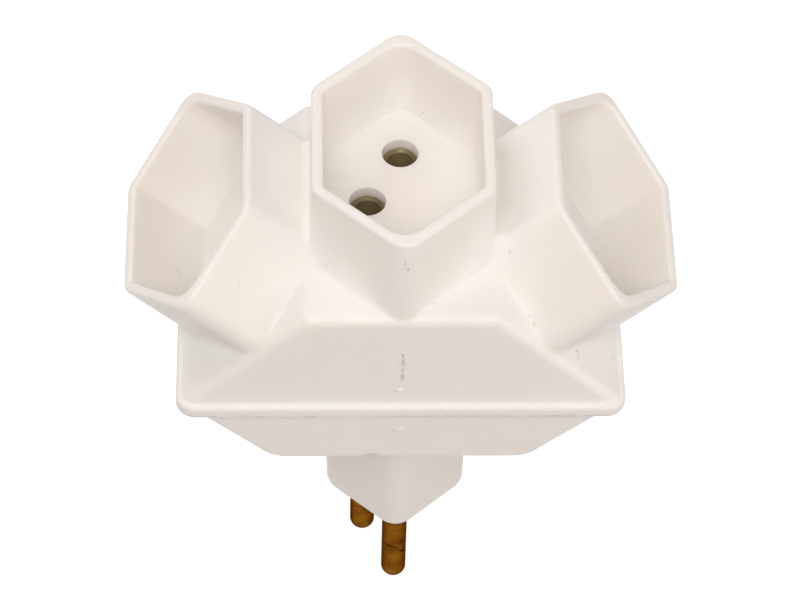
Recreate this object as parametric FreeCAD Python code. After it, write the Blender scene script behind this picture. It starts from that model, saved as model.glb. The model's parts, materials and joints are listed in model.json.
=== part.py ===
import FreeCAD, Part
import math
import os

from FreeCAD import Vector

# Three-way plug adapter. Three hexagonal outlet cups fan out from one upper
# housing, and a lower housing ends in a hexagonal plug with three round pins.
# Millimetres, +Z up. The origin is the middle of the plug face, halfway
# between the line pin and the neutral pin. The pins point down.

# Pins and plug
PIN_PITCH = 19.0            # line pin to neutral pin, along Y
EARTH_OFFSET = 5.0          # earth pin and earth holes, towards -X
PIN_R = 2.0
PIN_LENGTH = 19.0           # what stands out of the plug face
PIN_END_FLAT = 0.4          # flat left in the middle of the rounded end
PIN_SHOULDER = 0.3          # step from the pin to its shank, inside the plug's floor
PIN_RECESS_RIM = 0.6        # shallow recess in the plug face round each pin
PIN_RECESS_DEPTH = 0.5
PIN_COLLAR_RIM = 1.2        # moulded-in collar that locks the pin, past its shank
PIN_COLLAR_TOP = 3.6
PIN_COLLAR_H = 1.4
PIN_TAIL_STEP = 0.6         # shank to the tail, which is riveted through the busbar's foot
PIN_HEAD_RIM = 0.5          # riveted head, past its tail
PIN_HEAD_H = 0.8
PIN_HEAD_EDGE = 0.4         # straight edge of the riveted head, under its dome
PLUG_LEG_ROOM = 1.2         # inside the plug's flat wall, past the earth busbar's leg
PLUG_TIP_MARGIN = 5.9       # middle of a live pin to the hexagon's tip
PLUG_TIP_ROUND = 3.4
PLUG_CORNER_ROUND = 4.0
PLUG_WALL = 2.2
PLUG_FLOOR = 6.0
PLUG_FACE_ROUND = 0.8
PLUG_GROWTH = 0.4           # mould taper: how much wider it is at its root
PLUG_HEIGHT = 28.2

# Housings
TIP_ANGLE = 41.0            # slope of the hexagons' tip faces, in degrees
LOWER_HEIGHT = 11.7
LOWER_RUN_IN = 11.2         # how much narrower the lower housing's foot is, each side
LOWER_DEPTH_DRAFT = 0.4
LOWER_CORNER_ROUND = 5.0
LOWER_EDGE_ROUND = 0.8
LOWER_FLOOR = 2.0
FLANGE_OVERHANG = 3.1       # flange past the lower housing, each side
FLANGE_SHELF = 0.9          # flange past the foot of the sloping facets
FLANGE_FRONT_OVERHANG = 0.9
FLANGE_HEIGHT = 2.4
FLANGE_CORNER_ROUND = 3.0
FLANGE_TOP_ROUND = 0.8
FLANGE_UNDER_ROUND = 0.4
UPPER_SHOULDER = 0.425      # facet left in front of a cup's rounded tip
UPPER_DEPTH_DRAFT = 0.8     # how much deeper the faceted body is at its foot
UPPER_EDGE_ROUND = 1.5
GROOVE_ROUND = 0.8          # soft blend where the cups and the facets meet
HOUSING_WALL = 2.0
SPLIT_WALL = 2.8            # thicker where the two housings meet
CAVITY_SIDE_ROOM = 4.15     # hollow past the side outlets' springs
LIP_HEIGHT = 1.8            # the lower housing's lip inside the upper one
LIP_WALL = 1.3
LIP_GAP = 0.1

# Outlet fan: every cup points away from one axis along Y
FAN_RADIUS = 29.0           # axis to the top facet; the sloping ones lie a little further out
FAN_STEP_ANGLE = 45.0       # from one outlet to the next, in degrees
AXIS_BELOW_SPLIT = 8.2      # axis, under the split line between the housings
CUP_HEIGHT = 16.0
CUP_HALF_FLAT = 13.3
CUP_TIP_MARGIN = 12.1       # middle of a live hole to the hexagon's tip
CUP_TIP_ROUND = 3.0
CUP_CORNER_ROUND = 2.5
CUP_WALL = 1.7
CUP_GROWTH = 0.35           # mould taper over the cup's height
CUP_ROOT = 2.0              # how far a cup's block reaches into its facet
RECESS_DEPTH = 14.3
RECESS_TAPER = 0.25
RECESS_TIP_ROUND = 3.5
RECESS_CORNER_ROUND = 1.2
RECESS_FLOOR_ROUND = 0.5
RIM_ROUND = 0.65

# Contacts
CONTACT_CLEARANCE = 0.02    # sleeve round a pin
CONTACT_WALL = 0.5
CONTACT_LENGTH = 17.9
CONTACT_BELOW_FACE = 1.7    # mouth of the sleeve, inside the hole in the outlet's face
CONTACT_MOUTH = 0.4         # flare at the mouth of the sleeve
HOLE_CLEARANCE = 0.23       # hole in the outlet's face round a sleeve
SLOT_WIDTH = 0.5
SLOT_DEPTH = 12.0
PAD_WIDTH = 3.0             # pad that joins a sleeve to its busbar
PAD_LENGTH = 4.5
SPRING_WALL = 0.55
SPRING_WIDTH = 3.0
SPRING_BELOW_CEILING = 1.9  # spring, under the top of the hollow
SPRING_GAP = 1.5

# Busbars and barriers
BUSBAR_THICKNESS = 0.8
BUSBAR_ARM_WIDTH = 4.4
BUSBAR_BELOW_SPRING = 2.6   # end of an arm, under the spring beside it
BUSBAR_HUB_MARGIN = 0.6     # hub past the edges of its arms
BUSBAR_LEG_WIDTH = 5.0
BUSBAR_ROUND = 1.0
BUSBAR_EYE_MARGIN = 0.2     # round end of the foot, past the pin's riveted head
BARRIER_THICKNESS = 1.2
BARRIER_GAP = 0.3           # clearance to the walls around it
BARRIER_NECK_GAP = 1.3      # clearance to the plug's flat walls

# Sizes that follow from the ones above
PIN_END_ROUND = PIN_R - PIN_END_FLAT
PIN_SHANK_R = PIN_R - PIN_SHOULDER
PIN_RECESS_R = PIN_R + PIN_RECESS_RIM
PIN_COLLAR_R = PIN_SHANK_R + PIN_COLLAR_RIM
PIN_TAIL_R = PIN_SHANK_R - PIN_TAIL_STEP
PIN_HEAD_R = PIN_TAIL_R + PIN_HEAD_RIM
BUSBAR_EYE_R = PIN_HEAD_R + BUSBAR_EYE_MARGIN
PLUG_HALF_TIP = PIN_PITCH / 2 + PLUG_TIP_MARGIN
PLUG_HALF_FLAT = EARTH_OFFSET + BUSBAR_LEG_WIDTH / 2 + PLUG_LEG_ROOM + PLUG_WALL
BARRIER_NECK_HALF = PLUG_HALF_FLAT - PLUG_WALL - BARRIER_NECK_GAP
CONTACT_BORE_R = PIN_R + CONTACT_CLEARANCE
CONTACT_R = CONTACT_BORE_R + CONTACT_WALL
SPRING_R = CONTACT_R + SPRING_WALL
OUTLET_HOLE_R = CONTACT_R + HOLE_CLEARANCE

# Fan, levels and radii that follow
OUTLET_ANGLES = {"left": -FAN_STEP_ANGLE, "top": 0.0, "right": FAN_STEP_ANGLE}
FAN_STEP = math.radians(FAN_STEP_ANGLE)
SIN_STEP = math.sin(FAN_STEP)
COS_STEP = math.cos(FAN_STEP)
SPLIT_Z = PLUG_HEIGHT + LOWER_HEIGHT
AXIS_Z = SPLIT_Z - AXIS_BELOW_SPLIT
FAN_AXIS = Vector(0, 0, AXIS_Z)
FLANGE_TOP_Z = SPLIT_Z + FLANGE_HEIGHT
RIM_RADIUS = FAN_RADIUS + CUP_HEIGHT
FACE_RADIUS = RIM_RADIUS - RECESS_DEPTH
CAVITY_RADIUS = FAN_RADIUS - HOUSING_WALL
CONTACT_TOP = FACE_RADIUS - CONTACT_BELOW_FACE
SPRING_TOP = CAVITY_RADIUS - SPRING_BELOW_CEILING
BUSBAR_ARM_REACH = SPRING_TOP - SPRING_WIDTH - BUSBAR_BELOW_SPRING

# Depths along Y, from the cups' tips outwards
TIP_SLANT = 1 / math.cos(math.radians(TIP_ANGLE))
CUP_HALF_TIP = PIN_PITCH / 2 + CUP_TIP_MARGIN
CUP_REACH = CUP_HALF_TIP + CUP_GROWTH * TIP_SLANT - (CUP_TIP_ROUND + CUP_GROWTH) * (TIP_SLANT - 1)
UPPER_DEPTH_TOP = CUP_REACH + UPPER_SHOULDER
UPPER_DEPTH_BOTTOM = UPPER_DEPTH_TOP + UPPER_DEPTH_DRAFT
LOWER_DEPTH_TOP = UPPER_DEPTH_BOTTOM
LOWER_DEPTH_BOTTOM = LOWER_DEPTH_TOP - LOWER_DEPTH_DRAFT
FLANGE_HALF_DEPTH = UPPER_DEPTH_BOTTOM + FLANGE_FRONT_OVERHANG
CAVITY_HALF_DEPTH = UPPER_DEPTH_TOP - HOUSING_WALL

# Widths along X, from the side outlets' springs outwards
SPRING_REACH = (EARTH_OFFSET + SPRING_R) * COS_STEP + SPRING_TOP * SIN_STEP
CAVITY_HALF_WIDTH = SPRING_REACH + CAVITY_SIDE_ROOM
LOWER_HALF_TOP = CAVITY_HALF_WIDTH + SPLIT_WALL
LOWER_HALF_BOTTOM = LOWER_HALF_TOP - LOWER_RUN_IN
FLANGE_HALF_WIDTH = LOWER_HALF_TOP + FLANGE_OVERHANG
FACET_FOOT = FLANGE_HALF_WIDTH - FLANGE_SHELF
FACET_RADIUS = FACET_FOOT * SIN_STEP + (FLANGE_TOP_Z - AXIS_Z) * COS_STEP
LIP_INSET = LIP_GAP + LIP_WALL

TOLERANCE = 1e-4
SHARP_TURN = math.radians(10)   # faces that meet at less than this are smooth
EXTRA = 5.0                 # how far a cutting block runs past what it cuts

# Each pole: where it stands in plan, and the side its busbar lies on
POLES = {
    "line": {"x": 0.0, "y": PIN_PITCH / 2, "side": -1},
    "neutral": {"x": 0.0, "y": -PIN_PITCH / 2, "side": 1},
    "earth": {"x": -EARTH_OFFSET, "y": 0.0, "side": 1},
}


def plan(z):
    """Place an outline flat at one height."""
    return lambda point: Vector(point.x, point.y, z)


def upright(y):
    """Place an outline upright, across the depth, at one Y."""
    return lambda point: Vector(point.x, y, point.y)


def rounded_wire(points, radii, place):
    """Closed wire through the points, each corner rounded to its radius."""
    count = len(points)
    corners = []
    for index, radius in enumerate(radii):
        here = Vector(*points[index], 0)
        before = (Vector(*points[index - 1], 0) - here).normalize()
        after = (Vector(*points[(index + 1) % count], 0) - here).normalize()
        half = before.getAngle(after) / 2
        inward = (before + after).normalize()
        reach = radius / math.tan(half)
        middle = here + inward * (radius / math.sin(half) - radius)
        corners.append((here + before * reach, middle, here + after * reach))
    edges = []
    for index, (start, middle, end) in enumerate(corners):
        last = corners[index - 1][2]
        edges.append(Part.LineSegment(place(last), place(start)).toShape())
        if radii[index] > 0:
            arc = Part.Arc(place(start), place(middle), place(end))
            edges.append(arc.toShape())
    return Part.Wire(edges)


def hexagon(half_flat, half_tip, tip_round, corner_round, z, growth=0.0):
    """Hexagon with its tips on Y, moved outwards by growth on every side."""
    slope = math.radians(TIP_ANGLE)
    flat = half_flat + growth
    tip = half_tip + growth / math.cos(slope)
    corner = tip - flat * math.tan(slope)
    points = [(0, tip), (-flat, corner), (-flat, -corner), (0, -tip), (flat, -corner), (flat, corner)]
    tip_r = tip_round + growth
    corner_r = corner_round + growth
    return rounded_wire(points, [tip_r, corner_r, corner_r] * 2, plan(z))


def mirrored(half_points):
    """Points of the +X side, from top to bottom, closed by their mirror image."""
    return half_points + [(-x, z) for x, z in reversed(half_points)]


def prism_along_y(points, radii, low_y, high_y):
    """Solid whose upright outline runs along Y."""
    wire = rounded_wire(points, radii, upright(low_y))
    return Part.Face(wire).extrude(Vector(0, high_y - low_y, 0))


def depth_block(z_low, depth_low, z_high, depth_high, half_width):
    """Block whose front and back faces slope from one half depth to the other."""
    corners = [(-depth_low, z_low), (depth_low, z_low), (depth_high, z_high), (-depth_high, z_high)]
    wire = Part.makePolygon([Vector(-half_width, y, z) for y, z in corners + corners[:1]])
    return Part.Face(wire).extrude(Vector(2 * half_width, 0, 0))


def to_outlet(shape, angle):
    """Turn a shape made at the top outlet round the fan's axis to another."""
    turned = shape.copy()
    turned.rotate(FAN_AXIS, Vector(0, 1, 0), angle)
    return turned


def height_in_outlet(point, angle):
    """Distance of a point from the fan's axis, along one outlet's direction."""
    turn = math.radians(angle)
    return point.x * math.sin(turn) + (point.z - AXIS_Z) * math.cos(turn)


def edges_at_height(shape, z):
    """Edges that lie flat at one height."""
    return [edge for edge in shape.Edges
            if abs(edge.BoundBox.ZMin - z) < TOLERANCE and abs(edge.BoundBox.ZMax - z) < TOLERANCE]


def facet_end(radius, height):
    """Half width of a sloping facet at a height above the fan's axis."""
    return (radius - height * COS_STEP) / SIN_STEP


def facet_height(radius, half_width):
    """Level of a sloping facet at a half width."""
    return AXIS_Z + (radius - half_width * SIN_STEP) / COS_STEP


def facet_corner(radius):
    """Corner between the top facet and a sloping one."""
    return (radius * math.tan(FAN_STEP / 2), AXIS_Z + radius)


def upper_body():
    """Faceted body under the cups, with its sloping front and back."""
    top_z = AXIS_Z + FAN_RADIUS
    corner = (facet_end(FACET_RADIUS, FAN_RADIUS), top_z)
    points = mirrored([corner, (FACET_FOOT, FLANGE_TOP_Z), (FACET_FOOT, SPLIT_Z)])
    block = prism_along_y(points, [0] * len(points), -UPPER_DEPTH_BOTTOM - EXTRA, UPPER_DEPTH_BOTTOM + EXTRA)
    depth = depth_block(SPLIT_Z, UPPER_DEPTH_BOTTOM, top_z, UPPER_DEPTH_TOP, 2 * FACET_FOOT)
    block = block.common(depth)
    above = [edge for edge in block.Edges if edge.CenterOfMass.z > FLANGE_TOP_Z + TOLERANCE
             and edge.BoundBox.ZMax > FLANGE_TOP_Z + TOLERANCE]
    return block.makeFillet(UPPER_EDGE_ROUND, above)


def flange():
    """Thin plate that ends the upper housing at the split line."""
    width, depth = FLANGE_HALF_WIDTH, FLANGE_HALF_DEPTH
    points = [(width, depth), (-width, depth), (-width, -depth), (width, -depth)]
    wire = rounded_wire(points, [FLANGE_CORNER_ROUND] * 4, plan(SPLIT_Z))
    plate = Part.Face(wire).extrude(Vector(0, 0, FLANGE_HEIGHT))
    plate = plate.makeFillet(FLANGE_TOP_ROUND, edges_at_height(plate, FLANGE_TOP_Z))
    return plate.makeFillet(FLANGE_UNDER_ROUND, edges_at_height(plate, SPLIT_Z))


def concave_edges(shape, above_z):
    """Edges above a level where two faces meet in an inner corner."""
    edges = []
    for edge in shape.Edges:
        faces = shape.ancestorsOfType(edge, Part.Face)
        if len(faces) != 2 or edge.CenterOfMass.z < above_z + TOLERANCE:
            continue
        middle = edge.valueAt((edge.FirstParameter + edge.LastParameter) / 2)
        normals = [face.normalAt(*face.Surface.parameter(middle)) for face in faces]
        centres = [face.CenterOfMass - middle for face in faces]
        turned_in = centres[0].dot(normals[1]) > 0 and centres[1].dot(normals[0]) > 0
        if turned_in and normals[0].getAngle(normals[1]) > SHARP_TURN:
            edges.append(edge)
    return edges


def cup_block():
    """Outside of a cup, tapering towards its rim."""
    size = (CUP_HALF_FLAT, CUP_HALF_TIP, CUP_TIP_ROUND, CUP_CORNER_ROUND)
    foot = hexagon(*size, AXIS_Z + FAN_RADIUS - CUP_ROOT, CUP_GROWTH)
    rim = hexagon(*size, AXIS_Z + RIM_RADIUS)
    return Part.makeLoft([foot, rim], True, True)


def cup_recess():
    """Space inside a cup, down to the outlet's face."""
    size = (CUP_HALF_FLAT - CUP_WALL, CUP_HALF_TIP - CUP_WALL * TIP_SLANT,
            RECESS_TIP_ROUND, RECESS_CORNER_ROUND)
    past_rim = EXTRA * RECESS_TAPER / RECESS_DEPTH
    floor_z = AXIS_Z + FACE_RADIUS
    floor = hexagon(*size, floor_z, -RECESS_TAPER)
    mouth = hexagon(*size, AXIS_Z + RIM_RADIUS + EXTRA, past_rim)
    block = Part.makeLoft([floor, mouth], True, True)
    return block.makeFillet(RECESS_FLOOR_ROUND, edges_at_height(block, floor_z))


def outlet_holes():
    """The three round holes through an outlet's face."""
    start_z = AXIS_Z + CAVITY_RADIUS - EXTRA
    length = FACE_RADIUS - CAVITY_RADIUS + 2 * EXTRA
    return [Part.makeCylinder(OUTLET_HOLE_R, length, Vector(pole["x"], pole["y"], start_z))
            for pole in POLES.values()]


def upper_cavity():
    """Hollow of the upper housing, parallel to its facets."""
    knee = (CAVITY_HALF_WIDTH, facet_height(CAVITY_RADIUS, CAVITY_HALF_WIDTH))
    points = mirrored([facet_corner(CAVITY_RADIUS), knee, (CAVITY_HALF_WIDTH, SPLIT_Z - EXTRA)])
    return prism_along_y(points, [0] * len(points), -CAVITY_HALF_DEPTH, CAVITY_HALF_DEPTH)


def rim_edges(shape):
    """Inner and outer edges of the three rims."""
    edges = []
    for edge in shape.Edges:
        ends = [vertex.Point for vertex in edge.Vertexes]
        for angle in OUTLET_ANGLES.values():
            if all(abs(height_in_outlet(end, angle) - RIM_RADIUS) < TOLERANCE for end in ends):
                edges.append(edge)
    return edges


def upper_housing():
    """Cups, faceted body and flange in one hollow moulding."""
    shell = upper_body().fuse(flange())
    for angle in OUTLET_ANGLES.values():
        shell = shell.fuse(to_outlet(cup_block(), angle))
    shell = shell.removeSplitter()
    shell = shell.makeFillet(GROOVE_ROUND, concave_edges(shell, FLANGE_TOP_Z))
    shell = shell.cut(upper_cavity())
    for angle in OUTLET_ANGLES.values():
        shell = shell.cut(to_outlet(cup_recess(), angle))
        for hole in outlet_holes():
            shell = shell.cut(to_outlet(hole, angle))
    return shell.makeFillet(RIM_ROUND, rim_edges(shell))


def plug_block():
    """Outside of the hexagonal plug."""
    size = (PLUG_HALF_FLAT, PLUG_HALF_TIP, PLUG_TIP_ROUND, PLUG_CORNER_ROUND)
    root_z = PLUG_HEIGHT + LOWER_FLOOR
    block = Part.makeLoft([hexagon(*size, 0.0), hexagon(*size, root_z, PLUG_GROWTH)], True, True)
    return block.makeFillet(PLUG_FACE_ROUND, edges_at_height(block, 0.0))


def plug_cavity():
    """Hollow of the plug above its thick floor."""
    size = (PLUG_HALF_FLAT, PLUG_HALF_TIP, PLUG_TIP_ROUND, PLUG_CORNER_ROUND)
    low = hexagon(*size, PLUG_FLOOR, -PLUG_WALL)
    high = hexagon(*size, PLUG_HEIGHT + LOWER_FLOOR + EXTRA, -PLUG_WALL)
    return Part.makeLoft([low, high], True, True)


def lower_slope():
    """How much narrower the lower housing gets for each millimetre down."""
    return (LOWER_HALF_TOP - LOWER_HALF_BOTTOM) / LOWER_HEIGHT


def lower_body():
    """Outside of the lower housing, without its plug."""
    points = mirrored([(LOWER_HALF_TOP, SPLIT_Z), (LOWER_HALF_BOTTOM, PLUG_HEIGHT)])
    radii = [0, LOWER_CORNER_ROUND, LOWER_CORNER_ROUND, 0]
    block = prism_along_y(points, radii, -LOWER_DEPTH_TOP - EXTRA, LOWER_DEPTH_TOP + EXTRA)
    depth = depth_block(PLUG_HEIGHT, LOWER_DEPTH_BOTTOM, SPLIT_Z, LOWER_DEPTH_TOP, 2 * LOWER_HALF_TOP)
    block = block.common(depth)
    along_faces = [edge for edge in block.Edges
                   if edge.BoundBox.YLength < LOWER_DEPTH_TOP and edge.CenterOfMass.z < SPLIT_Z - TOLERANCE]
    return block.makeFillet(LOWER_EDGE_ROUND, along_faces)


def lip_block():
    """Lip of the lower housing, still solid, inside the upper cavity."""
    half_width = CAVITY_HALF_WIDTH - LIP_GAP
    depth = CAVITY_HALF_DEPTH - LIP_GAP
    low_z = SPLIT_Z - LIP_WALL
    height = SPLIT_Z + LIP_HEIGHT - low_z
    return Part.makeBox(2 * half_width, 2 * depth, height, Vector(-half_width, -depth, low_z))


def lower_cavity():
    """Hollow of the lower housing, with walls parallel to the outside."""
    half_top = CAVITY_HALF_WIDTH - LIP_INSET
    floor_z = PLUG_HEIGHT + LOWER_FLOOR
    half_floor = half_top - (SPLIT_Z - floor_z) * lower_slope()
    top_z = SPLIT_Z + LIP_HEIGHT + EXTRA
    points = mirrored([(half_top, top_z), (half_top, SPLIT_Z), (half_floor, floor_z)])
    depth = CAVITY_HALF_DEPTH - LIP_INSET
    return prism_along_y(points, [0] * len(points), -depth, depth)


def pin_profile():
    """Half section of a pin, from its rounded end to its riveted tail."""
    head_z = PLUG_FLOOR + BUSBAR_THICKNESS
    start = Vector(0, 0, -PIN_LENGTH)
    end_line = Vector(PIN_R - PIN_END_ROUND, 0, -PIN_LENGTH)
    bend = PIN_END_ROUND * (1 - math.sqrt(0.5))
    middle = Vector(PIN_R - bend, 0, -PIN_LENGTH + bend)
    side = Vector(PIN_R, 0, -PIN_LENGTH + PIN_END_ROUND)
    steps = [
        (PIN_R, PIN_RECESS_DEPTH),
        (PIN_SHANK_R, PIN_RECESS_DEPTH),
        (PIN_SHANK_R, PIN_COLLAR_TOP - PIN_COLLAR_H),
        (PIN_COLLAR_R, PIN_COLLAR_TOP - PIN_COLLAR_H),
        (PIN_COLLAR_R, PIN_COLLAR_TOP),
        (PIN_SHANK_R, PIN_COLLAR_TOP),
        (PIN_SHANK_R, PLUG_FLOOR),
        (PIN_TAIL_R, PLUG_FLOOR),
        (PIN_TAIL_R, head_z),
        (PIN_HEAD_R, head_z),
        (PIN_HEAD_R, head_z + PIN_HEAD_EDGE),
        (PIN_TAIL_R, head_z + PIN_HEAD_H),
        (0, head_z + PIN_HEAD_H),
    ]
    edges = [Part.LineSegment(start, end_line).toShape(), Part.Arc(end_line, middle, side).toShape()]
    last = side
    for radius, z in steps:
        point = Vector(radius, 0, z)
        edges.append(Part.LineSegment(last, point).toShape())
        last = point
    edges.append(Part.LineSegment(last, start).toShape())
    return Part.Face(Part.Wire(edges))


def pin(pole):
    """Turned brass pin."""
    solid = pin_profile().revolve(Vector(0, 0, 0), Vector(0, 0, 1), 360)
    solid.translate(Vector(pole["x"], pole["y"], 0))
    return solid


def pin_seat(pole):
    """Space that the plug's floor leaves for a pin's shank and collar, with the recess round it."""
    place = Vector(pole["x"], pole["y"], 0)
    recess = Part.makeCylinder(PIN_RECESS_R, PIN_RECESS_DEPTH + EXTRA, place - Vector(0, 0, EXTRA))
    shank = Part.makeCylinder(PIN_SHANK_R, PLUG_FLOOR + 2 * EXTRA, place - Vector(0, 0, EXTRA))
    collar_z = PIN_COLLAR_TOP - PIN_COLLAR_H
    collar = Part.makeCylinder(PIN_COLLAR_R, PIN_COLLAR_H, place + Vector(0, 0, collar_z))
    return shank.fuse(collar).fuse(recess)


def lower_housing():
    """Lower body, plug and the lip that enters the upper housing."""
    shell = lower_body().fuse(plug_block()).fuse(lip_block())
    shell = shell.removeSplitter()
    shell = shell.cut(lower_cavity())
    shell = shell.cut(plug_cavity())
    for pole in POLES.values():
        shell = shell.cut(pin_seat(pole))
    return shell


def busbar_face(pole):
    """Y of the busbar face that the contact sleeves are joined to."""
    return pole["y"] + pole["side"] * CONTACT_R


def busbar_span(pole):
    """Lowest and highest Y of a pole's busbar."""
    face = busbar_face(pole)
    far = face + pole["side"] * BUSBAR_THICKNESS
    return min(face, far), max(face, far)


def busbar(pole):
    """Stamped fan of three arms, with a leg and a foot down to the pin."""
    low_y, high_y = busbar_span(pole)
    arm_half = BUSBAR_ARM_WIDTH / 2
    arm_top = AXIS_Z + BUSBAR_ARM_REACH
    points = [(pole["x"] + arm_half, arm_top), (pole["x"] + arm_half, AXIS_Z),
              (pole["x"] - arm_half, AXIS_Z), (pole["x"] - arm_half, arm_top)]
    arm = prism_along_y(points, [BUSBAR_ROUND, 0, 0, BUSBAR_ROUND], low_y, high_y)
    hub_r = abs(pole["x"]) + arm_half + BUSBAR_HUB_MARGIN
    plate = Part.makeCylinder(hub_r, BUSBAR_THICKNESS, Vector(0, low_y, AXIS_Z), Vector(0, 1, 0))
    for angle in OUTLET_ANGLES.values():
        plate = plate.fuse(to_outlet(arm, angle))
    leg_place = Vector(pole["x"] - BUSBAR_LEG_WIDTH / 2, low_y, PLUG_FLOOR)
    leg = Part.makeBox(BUSBAR_LEG_WIDTH, BUSBAR_THICKNESS, AXIS_Z - PLUG_FLOOR, leg_place)
    foot_low = min(pole["y"], low_y)
    foot_high = max(pole["y"], high_y)
    foot = Part.makeBox(2 * BUSBAR_EYE_R, foot_high - foot_low, BUSBAR_THICKNESS,
                        Vector(pole["x"] - BUSBAR_EYE_R, foot_low, PLUG_FLOOR))
    pin_place = Vector(pole["x"], pole["y"], PLUG_FLOOR)
    eye = Part.makeCylinder(BUSBAR_EYE_R, BUSBAR_THICKNESS, pin_place)
    plate = plate.fuse(leg).fuse(foot).fuse(eye).removeSplitter()
    return plate.cut(Part.makeCylinder(PIN_TAIL_R, BUSBAR_THICKNESS, pin_place))


def contact_sleeve(pole):
    """Slotted brass sleeve of the top outlet, joined to its busbar by a pad."""
    centre = Vector(pole["x"], pole["y"], 0)
    foot_z = AXIS_Z + CONTACT_TOP - CONTACT_LENGTH
    top_z = AXIS_Z + CONTACT_TOP
    sleeve = Part.makeCylinder(CONTACT_R, CONTACT_LENGTH, centre + Vector(0, 0, foot_z))
    pad_y = min(0, pole["side"] * CONTACT_R)
    pad = Part.makeBox(PAD_WIDTH, CONTACT_R, PAD_LENGTH, centre + Vector(-PAD_WIDTH / 2, pad_y, foot_z))
    sleeve = sleeve.fuse(pad)
    sleeve = sleeve.cut(Part.makeCylinder(CONTACT_BORE_R, CONTACT_LENGTH, centre + Vector(0, 0, foot_z)))
    mouth = Part.makeCone(CONTACT_BORE_R, CONTACT_BORE_R + CONTACT_MOUTH, CONTACT_MOUTH,
                          centre + Vector(0, 0, top_z - CONTACT_MOUTH))
    slot = Part.makeBox(2 * EXTRA, SLOT_WIDTH, SLOT_DEPTH,
                        centre + Vector(-EXTRA, -SLOT_WIDTH / 2, top_z - SLOT_DEPTH))
    return sleeve.cut(mouth).cut(slot)


def contact_spring(pole):
    """Split steel ring that presses a sleeve together."""
    low_z = AXIS_Z + SPRING_TOP - SPRING_WIDTH
    centre = Vector(pole["x"], pole["y"], low_z)
    ring = Part.makeCylinder(SPRING_R, SPRING_WIDTH, centre)
    ring = ring.cut(Part.makeCylinder(CONTACT_R, SPRING_WIDTH, centre))
    gap_y = 0 if pole["side"] < 0 else -EXTRA
    gap = Part.makeBox(SPRING_GAP, EXTRA, SPRING_WIDTH, centre + Vector(-SPRING_GAP / 2, gap_y, 0))
    return ring.cut(gap)


def barrier(side):
    """Insulating plate between the earth parts and the line or neutral parts."""
    top_radius = CAVITY_RADIUS - BARRIER_GAP
    half_width = CAVITY_HALF_WIDTH - LIP_INSET - BARRIER_GAP
    knee = (half_width, facet_height(top_radius, half_width))
    floor_z = PLUG_HEIGHT + LOWER_FLOOR + BARRIER_GAP
    half_floor = half_width - (SPLIT_Z - floor_z) * lower_slope()
    points = mirrored([facet_corner(top_radius), knee, (half_width, SPLIT_Z), (half_floor, floor_z),
                       (BARRIER_NECK_HALF, floor_z), (BARRIER_NECK_HALF, PLUG_FLOOR)])
    low_y = side * barrier_middle(side) - BARRIER_THICKNESS / 2
    return prism_along_y(points, [0] * len(points), low_y, low_y + BARRIER_THICKNESS)


def barrier_middle(side):
    """Distance from the middle plane, halfway between the parts on each side."""
    if side > 0:
        inner = busbar_span(POLES["earth"])[1]
    else:
        inner = SPRING_R
    outer = PIN_PITCH / 2 - CONTACT_R - BUSBAR_THICKNESS
    return (inner + outer) / 2


def build():
    """Every piece of the adapter, by name."""
    pieces = {"upper_housing": upper_housing(), "lower_housing": lower_housing()}
    for pole_name, pole in POLES.items():
        pieces[f"{pole_name}_pin"] = pin(pole)
        pieces[f"{pole_name}_busbar"] = busbar(pole)
        for outlet, angle in OUTLET_ANGLES.items():
            pieces[f"{pole_name}_contact_{outlet}"] = to_outlet(contact_sleeve(pole), angle)
            pieces[f"{pole_name}_spring_{outlet}"] = to_outlet(contact_spring(pole), angle)
    pieces["line_barrier"] = barrier(1)
    pieces["neutral_barrier"] = barrier(-1)
    return pieces


os.makedirs("parts", exist_ok=True)
for name, shape in build().items():
    shape.exportStep(f"parts/{name}.step")
    print(name, len(shape.Solids), shape.isValid(), round(shape.Volume, 1))
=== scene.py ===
import json
import math

import bpy
from mathutils import Matrix, Vector
from mathutils.bvhtree import BVHTree


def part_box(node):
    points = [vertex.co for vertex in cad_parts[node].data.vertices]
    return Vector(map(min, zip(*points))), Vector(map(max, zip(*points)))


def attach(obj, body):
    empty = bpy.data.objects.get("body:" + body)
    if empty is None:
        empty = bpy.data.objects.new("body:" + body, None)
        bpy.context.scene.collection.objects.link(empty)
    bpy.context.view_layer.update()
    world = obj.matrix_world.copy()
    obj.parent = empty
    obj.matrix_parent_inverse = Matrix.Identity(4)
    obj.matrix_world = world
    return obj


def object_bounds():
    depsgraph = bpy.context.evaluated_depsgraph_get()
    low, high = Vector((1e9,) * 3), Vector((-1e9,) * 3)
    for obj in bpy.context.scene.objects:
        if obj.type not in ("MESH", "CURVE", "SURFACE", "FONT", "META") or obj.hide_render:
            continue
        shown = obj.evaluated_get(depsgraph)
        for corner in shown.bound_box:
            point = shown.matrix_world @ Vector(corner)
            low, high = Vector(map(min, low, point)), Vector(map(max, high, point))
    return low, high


# Three-way plug adapter in warm white moulded plastic, with tarnished brass pins.
# Metres, +Z up. The origin is the middle of the plug face, and the pins point down.

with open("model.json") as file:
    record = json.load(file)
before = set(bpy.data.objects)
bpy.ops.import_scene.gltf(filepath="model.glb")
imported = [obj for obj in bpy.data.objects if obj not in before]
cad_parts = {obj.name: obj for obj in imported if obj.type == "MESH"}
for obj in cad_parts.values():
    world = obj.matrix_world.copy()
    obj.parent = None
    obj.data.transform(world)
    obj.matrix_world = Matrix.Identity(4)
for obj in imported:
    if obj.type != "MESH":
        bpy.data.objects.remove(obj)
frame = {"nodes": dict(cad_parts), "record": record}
cad_low, cad_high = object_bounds()

MM = 0.001

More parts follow.
